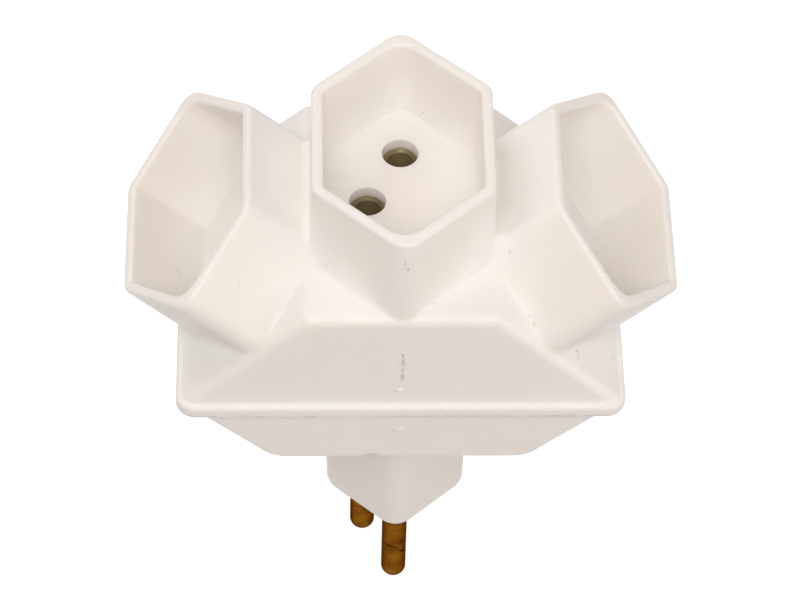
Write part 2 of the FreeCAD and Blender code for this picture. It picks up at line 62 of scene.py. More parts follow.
# View: an image of 800 by 600 pixels, looked at from above the front
IMAGE_WIDTH = 800
IMAGE_HEIGHT = 600
SENSOR_WIDTH = 36.0
FOCAL_PIXELS = 3437.0
CAMERA_ELEVATION = math.radians(50.77)
CAMERA_AZIMUTH = math.radians(-2.33)
CAMERA_ROLL = math.radians(-1.69)
CAMERA_DISTANCE = 0.5262
CAMERA_AIM = Vector((0.00024, -0.00006, 0.03941))
CAMERA_NEAR = 0.01

# Light and background
FLOOR_HALF = 2.0
AMBIENT = 0.51
SOFTBOX_SIZE = 0.45
SOFTBOX_DISTANCE = 0.9
# Each soft box: degrees to the right of the front, degrees above the horizon, watts
SOFTBOXES = {
    "front_box": (-4.0, 52.0, 3.05),
    "right_box": (64.0, 12.0, 1.05),
    "back_box": (-132.0, 45.0, 1.3),
}
FLOOR_COLOUR = (0.50, 0.50, 0.50, 1.0)
FLOOR_LIFT = 0.80

# Finishes
IVORY = (0.944, 0.850, 0.784, 1.0)
# the next colour is painted light: the paler tone that sheltered recesses are lifted to
PAINTED_RECESS_LIGHT = (0.975, 0.945, 0.905, 1.0)
CREAM = (0.892, 0.806, 0.720, 1.0)
# the next colour is real grime for the flecks, and painted shade where it darkens the corners
GRIME_AND_CORNER_SHADE = (0.50, 0.39, 0.28, 1.0)
# the next colour darkens dirt marks and also the painted shade marks
SPECK_AND_SHADE = (0.20, 0.14, 0.10, 1.0)
GATE_CLEAN = (0.955, 0.900, 0.850, 1.0)
SEAM_DUST = (0.52, 0.43, 0.34, 1.0)
SEAM_PALE = (0.76, 0.68, 0.58, 1.0)
BRASS_WARM = (0.250, 0.113, 0.019, 1.0)
BRASS_DARK = (0.130, 0.050, 0.005, 1.0)
PIN_STAIN = (0.055, 0.016, 0.003, 1.0)
PIN_RIM_TINT = (0.12, 0.08, 0.04, 1.0)
BRASS_STRIP = (0.66, 0.53, 0.30, 1.0)
BRASS_STRIP_DULL = (0.50, 0.40, 0.22, 1.0)
# the next colour is painted shade at the sleeves' mouths
BRASS_MOUTH_SHADE = (0.22, 0.165, 0.08, 1.0)
STEEL = (0.56, 0.56, 0.57, 1.0)
STEEL_DULL = (0.40, 0.39, 0.38, 1.0)
BOARD = (0.42, 0.30, 0.18, 1.0)
BOARD_DARK = (0.30, 0.20, 0.11, 1.0)
WHITE = (1.0, 1.0, 1.0, 1.0)

# Spans of a noise's values, each stretched to run from none to all
NOISE_SPAN = (0.3, 0.7)
DULL_SPAN = (0.35, 0.7)

# Housing plastic: patch sizes and spans, shares of the second colour, relief
YELLOWING_SIZE = 28 * MM
YELLOWING_SPAN = (0.38, 0.68)
YELLOWING_SHARE = 0.45
MOTTLE_SIZE = 3.5 * MM
MOTTLE_SHARE = 0.14
SHELTER_REACH = 14 * MM
RECESS_LIGHT_SPAN = (0.15, 0.55)        # enclosure over which painted light lifts the plastic towards a paler colour
CORNER_SHADE_SPAN = (0.55, 0.95)         # enclosure over which painted shade and grime gather in the corners
CORNER_PATCH_SIZE = 5 * MM
CORNER_PATCH_SPAN = (0.3, 0.75)
CORNER_PATCH_LEAST = 0.25              # share of the corner shade and grime in its thinnest patches
CORNER_SHADE_AND_GRIME_SHARE = 0.28
GRIME_ROUGHNESS = 0.12
FLECK_SPACING = 6 * MM
FLECK_EDGE = (0.018, 0.010)     # outer and inner edge of a fleck, in spacings
FLECK_SHARE = 0.5
GLOSS_SIZE = 7 * MM
PLASTIC_ROUGHNESS = (0.40, 0.52)
WAVE_SIZE = 9 * MM
WAVE_DEPTH = 0.05 * MM
GRAIN_SIZE = 0.22 * MM
GRAIN_DEPTH = 0.004 * MM
SCRATCH_SIZE = 0.5 * MM
SCRATCH_SPAN = (0.66, 0.74)
SCRATCH_DEPTH = 0.004 * MM
SCRATCH_TILT = math.radians(28)
SCRATCH_STRETCH = (1.0, 0.04, 1.0)
PLASTIC_IOR = 1.48
GLOW_WEIGHT = 0.40              # light that passes through the thin walls
GLOW_RADIUS = (1.0, 0.85, 0.7)
GLOW_SCALE = 2.5 * MM

# Metals and board: patch sizes and spans, relief, and roughness from bright to dull
PIN_STAIN_SIZE = 2.6 * MM
PIN_STAIN_SPAN = (0.36, 0.66)
PIN_STREAK_SIZE = 1.8 * MM
PIN_STREAK_SPAN = (0.52, 0.70)
PIN_STREAK_STRETCH = (0.45, 0.45, 1.6)
PIN_STREAK_TURN = (0.5, 0.35, 0.0)
PIN_STAIN_SHARE = 0.75
PIN_ROUGHNESS = (0.34, 0.56)
PIN_RING_SIZE = 0.12 * MM
PIN_RING_DEPTH = 0.006 * MM
PIN_RING_STRETCH = (0.02, 0.02, 1.0)
PIN_PIT_SIZE = 0.35 * MM
PIN_PIT_DEPTH = 0.010 * MM
STRIP_DULL_SIZE = 1.6 * MM
STRIP_INSIDE_REACH = 9 * MM
STRIP_INSIDE = (0.50, 0.80)     # enclosure from the sleeve's mouth, in painted shade, to its inside
STRIP_ROUGHNESS = (0.45, 0.62)
STRIP_METALLIC = 0.4
STRIP_GRAIN_SIZE = 0.2 * MM
STRIP_GRAIN_DEPTH = 0.005 * MM
STRIP_GRAIN_STRETCH = (1.0, 1.0, 0.05)
STEEL_DULL_SIZE = 1.2 * MM
STEEL_ROUGHNESS = (0.25, 0.42)
STEEL_GRAIN_SIZE = 0.15 * MM
STEEL_GRAIN_DEPTH = 0.004 * MM
STEEL_GRAIN_STRETCH = (0.1, 0.1, 1.0)
FIBRE_SIZE = 0.8 * MM
FIBRE_DEPTH = 0.03 * MM
FIBRE_STRETCH = (0.25, 1.0, 1.0)
FIBRE_TURN = (0.0, 0.4, 0.0)
BOARD_ROUGHNESS = (0.62, 0.80)
DUST_CLUMP_SIZE = 0.8 * MM
DUST_DEPTH = 0.02 * MM
DUST_ROUGHNESS = 0.85
TORN_SIZE = 0.5 * MM
TORN_DEPTH = 0.02 * MM
TORN_ROUGHNESS = 0.5
PAPER_ROUGHNESS = 0.9
CREVICE_SAMPLES = 2

# Dirt and knocks on the housings, with painted shade beside the gate nubs, on the right facet and under
# the lower body at the plug's root, by pixel of the photograph: x, y, half length and half width in
# pixels, tilt in degrees, darkness
HOUSING_MARKS = {
    "front_smear_end": (402.8, 356.0, 2.6, 2.0, 90, 0.40),
    "front_smear_upper": (403.0, 362.5, 5.5, 2.0, 88, 0.42),
    "front_smear_middle": (402.2, 370.5, 3.8, 1.8, 90, 0.28),
    "front_smear_lower": (402.4, 377.0, 5.2, 2.3, 90, 0.42),
    "front_smear_halo": (403.0, 366.0, 22.0, 6.0, 90, 0.09),
    "gate_shade": (396.0, 391.5, 3.4, 1.8, 10, 0.14),
    "lower_gate_shade": (395.0, 430.5, 4.0, 1.8, -12, 0.18),
    # the next mark is painted shade under the lower body, at the plug's root
    "plug_root_shade": (371.0, 454.6, 10.0, 1.7, 0, 0.32),
    "cup_knock": (405.4, 264.0, 4.5, 1.0, 88, 0.24),
    "cup_knock_dot": (408.4, 269.6, 1.7, 1.5, 0, 0.50),
    "cup_knock_foot": (403.0, 268.5, 3.0, 0.8, 0, 0.14),
    "left_groove_nick": (326.0, 266.0, 3.0, 0.9, -55, 0.18),
    "left_groove_dot": (335.0, 272.6, 1.7, 1.0, 0, 0.22),
    "right_groove_scuff": (534.0, 324.0, 4.2, 1.5, -55, 0.22),
    "right_groove_dot": (529.0, 316.0, 2.0, 1.4, -40, 0.22),
    # the next mark is painted shade on the right facet
    "right_facet_shade": (506.0, 296.0, 3.2, 0.9, -35, 0.12),
    "right_facet_nick": (435.4, 302.6, 1.5, 1.2, 0, 0.18),
    "right_cup_nick": (510.0, 252.0, 3.2, 1.0, -62, 0.30),
    "right_slope_speck": (577.0, 351.0, 2.2, 1.7, 80, 0.42),
    "right_slope_smear": (578.0, 357.0, 5.0, 1.1, 80, 0.20),
    "right_slope_short": (613.0, 358.0, 2.6, 1.0, 0, 0.20),
    "left_cup_dash": (178.0, 269.8, 2.4, 0.9, 0, 0.22),
    "left_cup_tail": (179.6, 274.5, 3.0, 0.9, -75, 0.10),
    "left_cup_scratch": (239.0, 284.0, 4.6, 0.8, 88, 0.16),
    "top_rim_nick": (423.0, 113.0, 2.0, 1.1, 0, 0.20),
    "far_rim_nick": (416.0, 48.0, 2.0, 1.1, 0, 0.20),
    "right_rim_nick": (483.0, 149.0, 2.2, 1.1, 40, 0.18),
    "plug_scratch": (334.0, 465.0, 4.5, 0.9, 70, 0.10),
}
PIN_MARKS = {
    "pin_streak": (391.0, 546.0, 8.0, 1.7, -22, 0.85),
    "pin_streak_end": (402.0, 550.5, 7.0, 1.9, -12, 0.70),
    "pin_stain": (401.0, 542.0, 4.5, 3.5, 80, 0.55),
    "earth_pin_stain": (364.0, 508.0, 7.0, 3.0, -40, 0.45),
}
MARK_DEPTH = 1.2 * MM
MARK_WOBBLE = 0.35 * MM
MARK_EDGE = (1.15, 0.35)        # outer and inner edge of a mark's soft border

# Moulding gate marks, by pixel: x, y and radius in pixels, height in millimetres
GATE_NUBS = {
    "upper_gate_nub": (399.8, 389.6, 3.6, 0.30),
    "lower_gate_nub": (399.4, 429.4, 4.2, 0.15),
}
NUB_RINGS = 6
NUB_SIDES = 20
NUB_SUNK = 0.15 * MM
# Waves of a nub's worn outline: bumps round it, size and starting angle
NUB_WEAR = ((2, 0.12, 0.7), (5, 0.05, 0.0))

# Grime that sits in the line where the flange ends
SEAM_HEIGHT = 40.34 * MM
SEAM_HALF_WIDTH = 33.5 * MM
SEAM_CORNER = 3.0 * MM
SEAM_CORNER_STEPS = 12
SEAM_STEP = 0.25 * MM
SEAM_RADIUS = 0.065 * MM
SEAM_SUNK = 0.03 * MM
SEAM_KEPT = 0.48
SEAM_PATCH = 5.0 * MM
SEAM_SEED = 7
SEAM_SIDES = 8
SEAM_LUMP_SIZE = 1.2 * MM
SEAM_THICKNESS = (0.45, 1.25)   # thinnest and thickest, in radii


class Finish:
    """A surface finish, built up node by node on one shader."""

    def __init__(self, name):
        self.material = bpy.data.materials.new(name)
        self.material.use_nodes = True
        self.tree = self.material.node_tree
        self.tree.nodes.clear()
        output = self.tree.nodes.new("ShaderNodeOutputMaterial")
        self.shader = self.tree.nodes.new("ShaderNodeBsdfPrincipled")
        self.tree.links.new(self.shader.outputs["BSDF"], output.inputs["Surface"])
        self.place = self.tree.nodes.new("ShaderNodeTexCoord").outputs["Object"]

    def constant(self, **values):
        for name, value in values.items():
            self.shader.inputs[name.replace("_", " ")].default_value = value

    def feed(self, source, name):
        self.tree.links.new(source, self.shader.inputs[name])

    def stretched(self, stretch, turn=(0.0, 0.0, 0.0)):
        node = self.tree.nodes.new("ShaderNodeMapping")
        node.inputs["Scale"].default_value = stretch
        node.inputs["Rotation"].default_value = turn
        self.tree.links.new(self.place, node.inputs["Vector"])
        return node.outputs["Vector"]

    def noise(self, size, detail=2.0, place=None, roughness=0.5):
        """Noise from 0 to 1 whose blotches are about one size across."""
        node = self.tree.nodes.new("ShaderNodeTexNoise")
        node.inputs["Scale"].default_value = 1.0 / size
        node.inputs["Detail"].default_value = detail
        node.inputs["Roughness"].default_value = roughness
        self.tree.links.new(place or self.place, node.inputs["Vector"])
        return node.outputs["Fac"]

    def cells(self, size):
        """Distance to the nearest of scattered points, in sizes."""
        node = self.tree.nodes.new("ShaderNodeTexVoronoi")
        node.inputs["Scale"].default_value = 1.0 / size
        self.tree.links.new(self.place, node.inputs["Vector"])
        return node.outputs["Distance"]

    def crevice(self, reach):
        """How enclosed the surface is, from 0 in the open to 1 in a corner."""
        node = self.tree.nodes.new("ShaderNodeAmbientOcclusion")
        node.samples = CREVICE_SAMPLES
        node.only_local = True
        node.inputs["Distance"].default_value = reach
        return self.spread(node.outputs["AO"], 1.0, 0.0)

    def spread(self, source, low, high, to_low=0.0, to_high=1.0):
        """The source's range from low to high, stretched to another and clamped."""
        node = self.tree.nodes.new("ShaderNodeMapRange")
        node.inputs["From Min"].default_value = low
        node.inputs["From Max"].default_value = high
        node.inputs["To Min"].default_value = to_low
        node.inputs["To Max"].default_value = to_high
        self.tree.links.new(source, node.inputs["Value"])
        return node.outputs["Result"]

    def marks(self, surface, marks):
        """How dark the named marks are here, each a soft-edged oval at its pixel."""
        wobble = self.tree.nodes.new("ShaderNodeTexNoise")
        wobble.inputs["Scale"].default_value = 1.0 / MARK_WOBBLE
        self.tree.links.new(self.place, wobble.inputs["Vector"])
        moved = self.tree.nodes.new("ShaderNodeVectorMath")
        moved.operation = "MULTIPLY_ADD"
        moved.inputs[1].default_value = (MARK_WOBBLE,) * 3
        self.tree.links.new(wobble.outputs["Color"], moved.inputs[0])
        self.tree.links.new(self.place, moved.inputs[2])
        right, up, back = camera_axes()
        total = 0.0
        for x, y, half_length, half_width, tilt, darkness in marks.values():
            centre, _, pixel = seen_place(surface, x, y)
            along = right * math.cos(math.radians(tilt)) + up * math.sin(math.radians(tilt))
            axes = Matrix((along, back.cross(along), back)).transposed()
            oval = self.tree.nodes.new("ShaderNodeMapping")
            oval.vector_type = "TEXTURE"
            oval.inputs["Location"].default_value = centre + Vector((MARK_WOBBLE / 2,) * 3)
            oval.inputs["Rotation"].default_value = axes.to_euler()
            reach = (half_length * pixel, half_width * pixel, MARK_DEPTH)
            oval.inputs["Scale"].default_value = reach
            self.tree.links.new(moved.outputs["Vector"], oval.inputs["Vector"])
            length = self.tree.nodes.new("ShaderNodeVectorMath")
            length.operation = "LENGTH"
            self.tree.links.new(oval.outputs["Vector"], length.inputs[0])
            here = self.spread(length.outputs["Value"], *MARK_EDGE, 0.0, darkness)
            total = self.combine("MAXIMUM", here, total)
        return total

    def combine(self, operation, first, second):
        """Two values, each a socket or a number, put through an operation."""
        node = self.tree.nodes.new("ShaderNodeMath")
        node.operation = operation
        for index, value in enumerate((first, second)):
            if isinstance(value, float):
                node.inputs[index].default_value = value
            else:
                self.tree.links.new(value, node.inputs[index])
        return node.outputs["Value"]

    def blend(self, factor, first, second):
        """Colour that goes from the first to the second with the factor."""
        node = self.tree.nodes.new("ShaderNodeMix")
        node.data_type = "RGBA"
        self.tree.links.new(factor, node.inputs["Factor"])
        for name, value in (("A", first), ("B", second)):
            socket = [s for s in node.inputs if s.name == name and s.type == "RGBA"][0]
            if isinstance(value, tuple):
                socket.default_value = value
            else:
                self.tree.links.new(value, socket)
        return [s for s in node.outputs if s.type == "RGBA"][0]

    def bump(self, height, depth, under=None):
        """Relief of a depth, in metres, on top of another bump."""
        node = self.tree.nodes.new("ShaderNodeBump")
        node.inputs["Strength"].default_value = 1.0
        node.inputs["Distance"].default_value = depth
        self.tree.links.new(height, node.inputs["Height"])
        if under is not None:
            self.tree.links.new(under, node.inputs["Normal"])
        return node.outputs["Normal"]


def sight_line(x, y):
    """Start and direction of the camera's ray through a pixel of the photograph."""
    right, up, back = camera_axes()
    start = CAMERA_AIM + back * CAMERA_DISTANCE
    way = right * (x - IMAGE_WIDTH / 2) - up * (y - IMAGE_HEIGHT / 2) - back * FOCAL_PIXELS
    return start, way.normalized()


def surface_of(names):
    """Search tree of the surfaces of some nodes."""
    corners, faces = [], []
    for name in names:
        mesh = frame["nodes"][name].data
        first = len(corners)
        corners += [vertex.co.copy() for vertex in mesh.vertices]
        faces += [[first + index for index in polygon.vertices] for polygon in mesh.polygons]
    return BVHTree.FromPolygons(corners, faces)


def seen_place(surface, x, y):
    """Point that a pixel shows, the surface's normal there and the size of a pixel."""
    start, way = sight_line(x, y)
    place, normal, _, distance = surface.ray_cast(start, way)
    if normal.dot(way) > 0:
        normal = -normal
    return place, normal, distance / FOCAL_PIXELS


def housing_plastic(surface):
    """Warm white moulded plastic, with painted light lifting its sheltered recesses, and painted shade
    with patchy grime in its corners.
    """
    finish = Finish("housing_plastic")
    yellowed = finish.spread(finish.noise(YELLOWING_SIZE, 2.0), *YELLOWING_SPAN, 0.0, YELLOWING_SHARE)
    mottled = finish.spread(finish.noise(MOTTLE_SIZE, 3.0), *DULL_SPAN, 0.0, MOTTLE_SHARE)
    colour = finish.blend(yellowed, IVORY, CREAM)
    colour = finish.blend(mottled, colour, CREAM)
    enclosed = finish.crevice(SHELTER_REACH)
    # painted light: sheltered recesses are lifted towards a paler colour, standing in for light that
    # reaches them
    colour = finish.blend(finish.spread(enclosed, *RECESS_LIGHT_SPAN), colour, PAINTED_RECESS_LIGHT)
    # painted shade: corners darken by how enclosed they are, broken into patches like grime
    patchy = finish.spread(finish.noise(CORNER_PATCH_SIZE, 3.0), *CORNER_PATCH_SPAN, CORNER_PATCH_LEAST)
    corner_shade_and_grime = finish.combine("MULTIPLY", finish.spread(enclosed, *CORNER_SHADE_SPAN), patchy)
    colour = finish.blend(finish.combine("MULTIPLY", corner_shade_and_grime, CORNER_SHADE_AND_GRIME_SHARE), colour, GRIME_AND_CORNER_SHADE)
    flecks = finish.spread(finish.cells(FLECK_SPACING), *FLECK_EDGE, 0.0, FLECK_SHARE)
    colour = finish.blend(flecks, colour, GRIME_AND_CORNER_SHADE)
    # the marks are dirt and knocks, with painted shade beside the gate nubs, on the right facet and at
    # the plug's root
    colour = finish.blend(finish.marks(surface, HOUSING_MARKS), colour, SPECK_AND_SHADE)
    finish.feed(colour, "Base Color")
    gloss = finish.spread(finish.noise(GLOSS_SIZE, 3.0), *NOISE_SPAN, *PLASTIC_ROUGHNESS)
    gloss = finish.combine("ADD", gloss, finish.combine("MULTIPLY", corner_shade_and_grime, GRIME_ROUGHNESS))
    finish.feed(gloss, "Roughness")
    waves = finish.bump(finish.noise(WAVE_SIZE, 1.0), WAVE_DEPTH)
    grain = finish.bump(finish.noise(GRAIN_SIZE, 2.0), GRAIN_DEPTH, waves)
    turned = finish.stretched(SCRATCH_STRETCH, (0.0, 0.0, SCRATCH_TILT))
    scratch = finish.spread(finish.noise(SCRATCH_SIZE, 1.0, turned), *SCRATCH_SPAN)
    finish.feed(finish.bump(scratch, -SCRATCH_DEPTH, grain), "Normal")
    finish.constant(IOR=PLASTIC_IOR, Subsurface_Weight=GLOW_WEIGHT,
                    Subsurface_Radius=GLOW_RADIUS, Subsurface_Scale=GLOW_SCALE)
    return finish.material


def pin_brass(surface):
    """Turned brass gone brown, with darker stains and fine turning rings."""
    finish = Finish("pin_brass")
    stain = finish.spread(finish.noise(PIN_STAIN_SIZE, 4.0), *PIN_STAIN_SPAN)
    streak_place = finish.stretched(PIN_STREAK_STRETCH, PIN_STREAK_TURN)
    streak = finish.spread(finish.noise(PIN_STREAK_SIZE, 2.0, streak_place), *PIN_STREAK_SPAN)
    dark = finish.combine("MAXIMUM", stain, streak)
    colour = finish.blend(finish.combine("MULTIPLY", dark, PIN_STAIN_SHARE), BRASS_WARM, BRASS_DARK)
    colour = finish.blend(finish.marks(surface, PIN_MARKS), colour, PIN_STAIN)
    finish.feed(colour, "Base Color")
    finish.feed(finish.spread(dark, 0.0, 1.0, *PIN_ROUGHNESS), "Roughness")
    rings = finish.noise(PIN_RING_SIZE, 1.0, finish.stretched(PIN_RING_STRETCH))
    pits = finish.noise(PIN_PIT_SIZE, 3.0)
    finish.feed(finish.bump(pits, PIN_PIT_DEPTH, finish.bump(rings, PIN_RING_DEPTH)), "Normal")
    finish.constant(Metallic=1.0, Specular_Tint=PIN_RIM_TINT)
    return finish.material


def contact_brass():
    """Rolled brass strip, dull where it was handled, with painted shade darkening the sleeves' mouths.
    """
    finish = Finish("contact_brass")
    dull = finish.spread(finish.noise(STRIP_DULL_SIZE, 3.0), *DULL_SPAN)
    inside = finish.spread(finish.crevice(STRIP_INSIDE_REACH), *STRIP_INSIDE)
    strip = finish.blend(dull, BRASS_STRIP, BRASS_STRIP_DULL)
    # painted shade: the open mouths of the sleeves are darkened, and the enclosed insides keep the
    # strip's colour
    finish.feed(finish.blend(inside, BRASS_MOUTH_SHADE, strip), "Base Color")
    finish.feed(finish.spread(dull, 0.0, 1.0, *STRIP_ROUGHNESS), "Roughness")
    rolled = finish.noise(STRIP_GRAIN_SIZE, 2.0, finish.stretched(STRIP_GRAIN_STRETCH))
    finish.feed(finish.bump(rolled, STRIP_GRAIN_DEPTH), "Normal")
    finish.constant(Metallic=STRIP_METALLIC)
    return finish.material


def spring_steel():
    """Bright strip steel with a drawn grain."""
    finish = Finish("spring_steel")
    dull = finish.spread(finish.noise(STEEL_DULL_SIZE, 3.0), *DULL_SPAN)
    finish.feed(finish.blend(dull, STEEL, STEEL_DULL), "Base Color")
    finish.feed(finish.spread(dull, 0.0, 1.0, *STEEL_ROUGHNESS), "Roughness")
    drawn = finish.noise(STEEL_GRAIN_SIZE, 2.0, finish.stretched(STEEL_GRAIN_STRETCH))
    finish.feed(finish.bump(drawn, STEEL_GRAIN_DEPTH), "Normal")
    finish.constant(Metallic=1.0)
    return finish.material


def barrier_board():
    """Pressed insulating board with short fibres."""
    finish = Finish("barrier_board")
    fibre = finish.noise(FIBRE_SIZE, 4.0, finish.stretched(FIBRE_STRETCH, FIBRE_TURN))
    finish.feed(finish.blend(finish.spread(fibre, *NOISE_SPAN), BOARD, BOARD_DARK), "Base Color")
    finish.feed(finish.spread(fibre, *NOISE_SPAN, *BOARD_ROUGHNESS), "Roughness")
    finish.feed(finish.bump(fibre, FIBRE_DEPTH), "Normal")
    return finish.material


def camera_axes():
    """Right, up and backward directions of the camera."""
    flat = math.cos(CAMERA_ELEVATION)
    back = Vector((math.sin(CAMERA_AZIMUTH) * flat, -math.cos(CAMERA_AZIMUTH) * flat,
                   math.sin(CAMERA_ELEVATION)))
    level = Vector((math.cos(CAMERA_AZIMUTH), math.sin(CAMERA_AZIMUTH), 0.0))
    upward = back.cross(level)
    right = level * math.cos(CAMERA_ROLL) - upward * math.sin(CAMERA_ROLL)
    up = level * math.sin(CAMERA_ROLL) + upward * math.cos(CAMERA_ROLL)
    return right, up, back


def add_camera():
    right, up, back = camera_axes()
    data = bpy.data.cameras.new("view")
    data.sensor_width = SENSOR_WIDTH
    data.lens = FOCAL_PIXELS / IMAGE_WIDTH * SENSOR_WIDTH
    data.clip_start = CAMERA_NEAR
    camera = bpy.data.objects.new("view", data)
    turn = Matrix((right, up, back)).transposed().to_4x4()
    camera.matrix_world = Matrix.Translation(CAMERA_AIM + back * CAMERA_DISTANCE) @ turn
    bpy.context.scene.collection.objects.link(camera)
    bpy.context.scene.camera = camera


def seen_by_lens(tree):
    """1 for rays that show the background: camera, mirror and glass rays."""
    path = tree.nodes.new("ShaderNodeLightPath")
    total = path.outputs["Is Camera Ray"]
    for name in ("Is Glossy Ray", "Is Transmission Ray"):
        node = tree.nodes.new("ShaderNodeMath")
        node.operation = "MAXIMUM"
        tree.links.new(total, node.inputs[0])
        tree.links.new(path.outputs[name], node.inputs[1])
        total = node.outputs["Value"]
    return total


def add_world():
    world = bpy.data.worlds.new("studio")
    bpy.context.scene.world = world
    world.use_nodes = True
    tree = world.node_tree
    background = tree.nodes["Background"]
    background.inputs["Color"].default_value = WHITE
    level = tree.nodes.new("ShaderNodeMapRange")
    level.inputs["To Min"].default_value = AMBIENT
    level.inputs["To Max"].default_value = 1.0
    tree.links.new(seen_by_lens(tree), level.inputs["Value"])
    tree.links.new(level.outputs["Result"], background.inputs["Strength"])


def add_softboxes():
    """Large even lamps round the object, all aimed at its middle."""
    middle = (cad_low + cad_high) / 2
    for name, (around, above, power) in SOFTBOXES.items():
        around, above = math.radians(around), math.radians(above)
        flat = math.cos(above)
        away = Vector((math.sin(around) * flat, -math.cos(around) * flat, math.sin(above)))
        data = bpy.data.lights.new(name, "AREA")
        data.shape = "DISK"
        data.size = SOFTBOX_SIZE
        data.energy = power
        lamp = bpy.data.objects.new(name, data)
        lamp.location = middle + away * SOFTBOX_DISTANCE
        lamp.rotation_euler = away.to_track_quat("Z", "Y").to_euler()
        bpy.context.scene.collection.objects.link(lamp)


def add_floor():
    """Pale floor under the pins, lifted towards white for the rays that the lens sees."""
    z = cad_low.z
    corners = [(-FLOOR_HALF, -FLOOR_HALF, z), (FLOOR_HALF, -FLOOR_HALF, z),
               (FLOOR_HALF, FLOOR_HALF, z), (-FLOOR_HALF, FLOOR_HALF, z)]
    mesh = bpy.data.meshes.new("floor")
    mesh.from_pydata(corners, [], [(0, 1, 2, 3)])
    floor = bpy.data.objects.new("floor", mesh)
    bpy.context.scene.collection.objects.link(floor)
    material = bpy.data.materials.new("floor_paper")
    material.use_nodes = True
    tree = material.node_tree
    shader = tree.nodes["Principled BSDF"]
    shader.inputs["Base Color"].default_value = FLOOR_COLOUR
    shader.inputs["Roughness"].default_value = PAPER_ROUGHNESS
    shader.inputs["Specular IOR Level"].default_value = 0.0
    shader.inputs["Emission Color"].default_value = WHITE
    level = tree.nodes.new("ShaderNodeMath")
    level.operation = "MULTIPLY"
    level.inputs[1].default_value = FLOOR_LIFT
    tree.links.new(seen_by_lens(tree), level.inputs[0])
    tree.links.new(level.outputs["Value"], shader.inputs["Emission Strength"])
    mesh.materials.append(material)


def seam_grime_finish():
    """Dust packed into a joint."""
    finish = Finish("seam_grime")
    clumps = finish.spread(finish.noise(DUST_CLUMP_SIZE, 3.0), *NOISE_SPAN)
    finish.feed(finish.blend(clumps, SEAM_PALE, SEAM_DUST), "Base Color")
    finish.feed(finish.bump(clumps, DUST_DEPTH), "Normal")
    finish.constant(Roughness=DUST_ROUGHNESS)
    return finish.material


def gate_finish():
    """Torn plastic of a gate mark, a little cleaner than the faces round it."""
    finish = Finish("gate_plastic")
    torn = finish.spread(finish.noise(TORN_SIZE, 3.0), *NOISE_SPAN)
    finish.feed(finish.blend(torn, GATE_CLEAN, IVORY), "Base Color")
    finish.feed(finish.bump(torn, TORN_DEPTH), "Normal")
    finish.constant(Roughness=TORN_ROUGHNESS, IOR=PLASTIC_IOR)
    return finish.material


def flange_outline():
    """Closed path round the flange's lower edge, as corners of a polyline."""
    half_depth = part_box("upper_housing")[1].y
    reach = SEAM_CORNER - SEAM_SUNK
    corners = []
    for quarter, (x_sign, y_sign) in enumerate([(1, 1), (-1, 1), (-1, -1), (1, -1)]):
        middle_x = x_sign * (SEAM_HALF_WIDTH - SEAM_CORNER)
        middle = Vector((middle_x, y_sign * (half_depth - SEAM_CORNER), 0))
        for step in range(SEAM_CORNER_STEPS + 1):
            angle = math.pi / 2 * (quarter + step / SEAM_CORNER_STEPS)
            corners.append(middle + Vector((math.cos(angle), math.sin(angle), 0)) * reach)
    path = []
    for index, corner in enumerate(corners):
        after = corners[(index + 1) % len(corners)]
        count = max(1, round((after - corner).length / SEAM_STEP))
        path += [corner.lerp(after, step / count) for step in range(count)]
    return [(point.x, point.y, SEAM_HEIGHT) for point in path]


def add_socket(tree, name, kind, into=True):
    way = "INPUT" if into else "OUTPUT"
    tree.interface.new_socket(name=name, in_out=way, socket_type=kind)


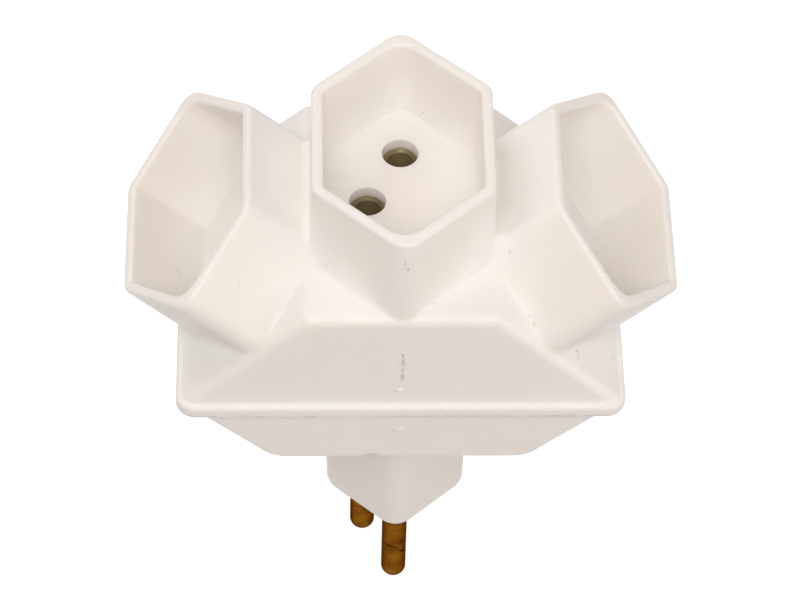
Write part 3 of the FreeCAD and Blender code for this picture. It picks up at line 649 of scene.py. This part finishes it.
def broken_bead_tree(material):
    """Node tree that sweeps an uneven, broken bead along the edges of its mesh."""
    tree = bpy.data.node_groups.new("broken_bead", "GeometryNodeTree")
    add_socket(tree, "Geometry", "NodeSocketGeometry")
    for name in ("Radius", "Kept Share", "Patch Size"):
        add_socket(tree, name, "NodeSocketFloat")
    add_socket(tree, "Seed", "NodeSocketInt")
    add_socket(tree, "Geometry", "NodeSocketGeometry", into=False)
    new, link = tree.nodes.new, tree.links.new
    given, result = new("NodeGroupInput").outputs, new("NodeGroupOutput").inputs
    per_metre = new("ShaderNodeMath")
    per_metre.operation = "DIVIDE"
    per_metre.inputs[0].default_value = 1.0
    link(given["Patch Size"], per_metre.inputs[1])
    patches = new("ShaderNodeTexNoise")
    patches.noise_dimensions = "4D"
    link(per_metre.outputs["Value"], patches.inputs["Scale"])
    link(given["Seed"], patches.inputs["W"])
    bare = new("FunctionNodeCompare")
    bare.operation = "GREATER_THAN"
    link(patches.outputs["Fac"], bare.inputs["A"])
    link(given["Kept Share"], bare.inputs["B"])
    kept = new("GeometryNodeDeleteGeometry")
    kept.domain = "EDGE"
    link(given["Geometry"], kept.inputs["Geometry"])
    link(bare.outputs["Result"], kept.inputs["Selection"])
    path = new("GeometryNodeMeshToCurve")
    link(kept.outputs["Geometry"], path.inputs["Mesh"])
    lumps = new("ShaderNodeTexNoise")
    lumps.inputs["Scale"].default_value = 1.0 / SEAM_LUMP_SIZE
    thickness = new("ShaderNodeMapRange")
    ends = ("From Min", "From Max", "To Min", "To Max")
    for name, value in zip(ends, NOISE_SPAN + SEAM_THICKNESS):
        thickness.inputs[name].default_value = value
    link(lumps.outputs["Fac"], thickness.inputs["Value"])
    uneven = new("GeometryNodeSetCurveRadius")
    link(path.outputs["Curve"], uneven.inputs["Curve"])
    link(thickness.outputs["Result"], uneven.inputs["Radius"])
    ring = new("GeometryNodeCurvePrimitiveCircle")
    ring.inputs["Resolution"].default_value = SEAM_SIDES
    link(given["Radius"], ring.inputs["Radius"])
    bead = new("GeometryNodeCurveToMesh")
    bead.inputs["Fill Caps"].default_value = True
    link(uneven.outputs["Curve"], bead.inputs["Curve"])
    link(ring.outputs["Curve"], bead.inputs["Profile Curve"])
    whole = new("GeometryNodeRealizeInstances")
    link(bead.outputs["Mesh"], whole.inputs["Geometry"])
    painted = new("GeometryNodeSetMaterial")
    painted.inputs["Material"].default_value = material
    link(whole.outputs["Geometry"], painted.inputs["Geometry"])
    link(painted.outputs["Geometry"], result["Geometry"])
    return tree


def grown(name, corners, edges, tree, values, material):
    """New object whose mesh a node tree grows from a polyline."""
    source = bpy.data.meshes.new(name + "_path")
    source.from_pydata(corners, edges, [])
    carrier = bpy.data.objects.new(name + "_path", source)
    bpy.context.scene.collection.objects.link(carrier)
    modifier = carrier.modifiers.new(name, "NODES")
    modifier.node_group = tree
    for item in tree.interface.items_tree:
        if item.in_out == "INPUT" and item.name in values:
            modifier[item.identifier] = values[item.name]
    seen = carrier.evaluated_get(bpy.context.evaluated_depsgraph_get())
    mesh = bpy.data.meshes.new_from_object(seen)
    mesh.name = name
    bpy.data.objects.remove(carrier)
    mesh.materials.clear()
    mesh.materials.append(material)
    piece = bpy.data.objects.new(name, mesh)
    bpy.context.scene.collection.objects.link(piece)
    return piece


def add_seam_grime(material):
    corners = flange_outline()
    count = len(corners)
    edges = [(index, (index + 1) % count) for index in range(count)]
    values = {
        "Radius": SEAM_RADIUS,
        "Kept Share": SEAM_KEPT,
        "Patch Size": SEAM_PATCH,
        "Seed": SEAM_SEED,
    }
    piece = grown("seam_grime", corners, edges, broken_bead_tree(material), values, material)
    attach(piece, "root")


def add_gate_nubs(surface, material):
    """Small worn domes that the mould's gates left on the front faces."""
    for name, (x, y, radius, height) in GATE_NUBS.items():
        place, normal, pixel = seen_place(surface, x, y)
        level = normal.cross(Vector((1, 0, 0))).normalized()
        across = level.cross(normal)
        corners = []
        for ring in range(NUB_RINGS + 1):
            rise = math.pi / 2 * ring / NUB_RINGS
            reach, lift = radius * pixel * math.cos(rise), height * MM * math.sin(rise)
            for side in range(NUB_SIDES):
                turn = 2 * math.pi * side / NUB_SIDES
                worn = 1 + sum(size * math.sin(count * turn + first) for count, size, first in NUB_WEAR)
                flat = across * math.cos(turn) + level * math.sin(turn)
                corners.append(place + flat * reach * worn + normal * lift)
        base = [corner - normal * NUB_SUNK for corner in corners[:NUB_SIDES]]
        corners = base + corners[:-NUB_SIDES] + [place + normal * height * MM]
        faces = [tuple(reversed(range(NUB_SIDES)))]
        for ring in range(NUB_RINGS):
            for side in range(NUB_SIDES):
                low, high = ring * NUB_SIDES, (ring + 1) * NUB_SIDES
                after = (side + 1) % NUB_SIDES
                faces.append((low + side, low + after, high + after, high + side))
        top, last = len(corners) - 1, NUB_RINGS * NUB_SIDES
        faces += [(last + side, last + (side + 1) % NUB_SIDES, top) for side in range(NUB_SIDES)]
        mesh = bpy.data.meshes.new(name)
        mesh.from_pydata(corners, [], faces)
        mesh.shade_smooth()
        mesh.materials.append(material)
        piece = bpy.data.objects.new(name, mesh)
        bpy.context.scene.collection.objects.link(piece)
        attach(piece, "root")


def dress(finishes):
    """Give each piece of the model the finish of its own material slot."""
    for part in frame["record"]["subparts"]:
        node = frame["nodes"][part["node"]]
        node.data.materials[0] = finishes[part["material_slot"]]


add_camera()
add_world()
add_softboxes()
add_floor()
housings = surface_of(["upper_housing", "lower_housing"])
pins = surface_of(["line_pin", "neutral_pin", "earth_pin"])
plastic = housing_plastic(housings)
dress({
    "housing_plastic": plastic,
    "pin_brass": pin_brass(pins),
    "contact_brass": contact_brass(),
    "spring_steel": spring_steel(),
    "barrier_board": barrier_board(),
})

add_seam_grime(seam_grime_finish())
add_gate_nubs(housings, gate_finish())

bpy.context.scene.view_settings.view_transform = "Standard"
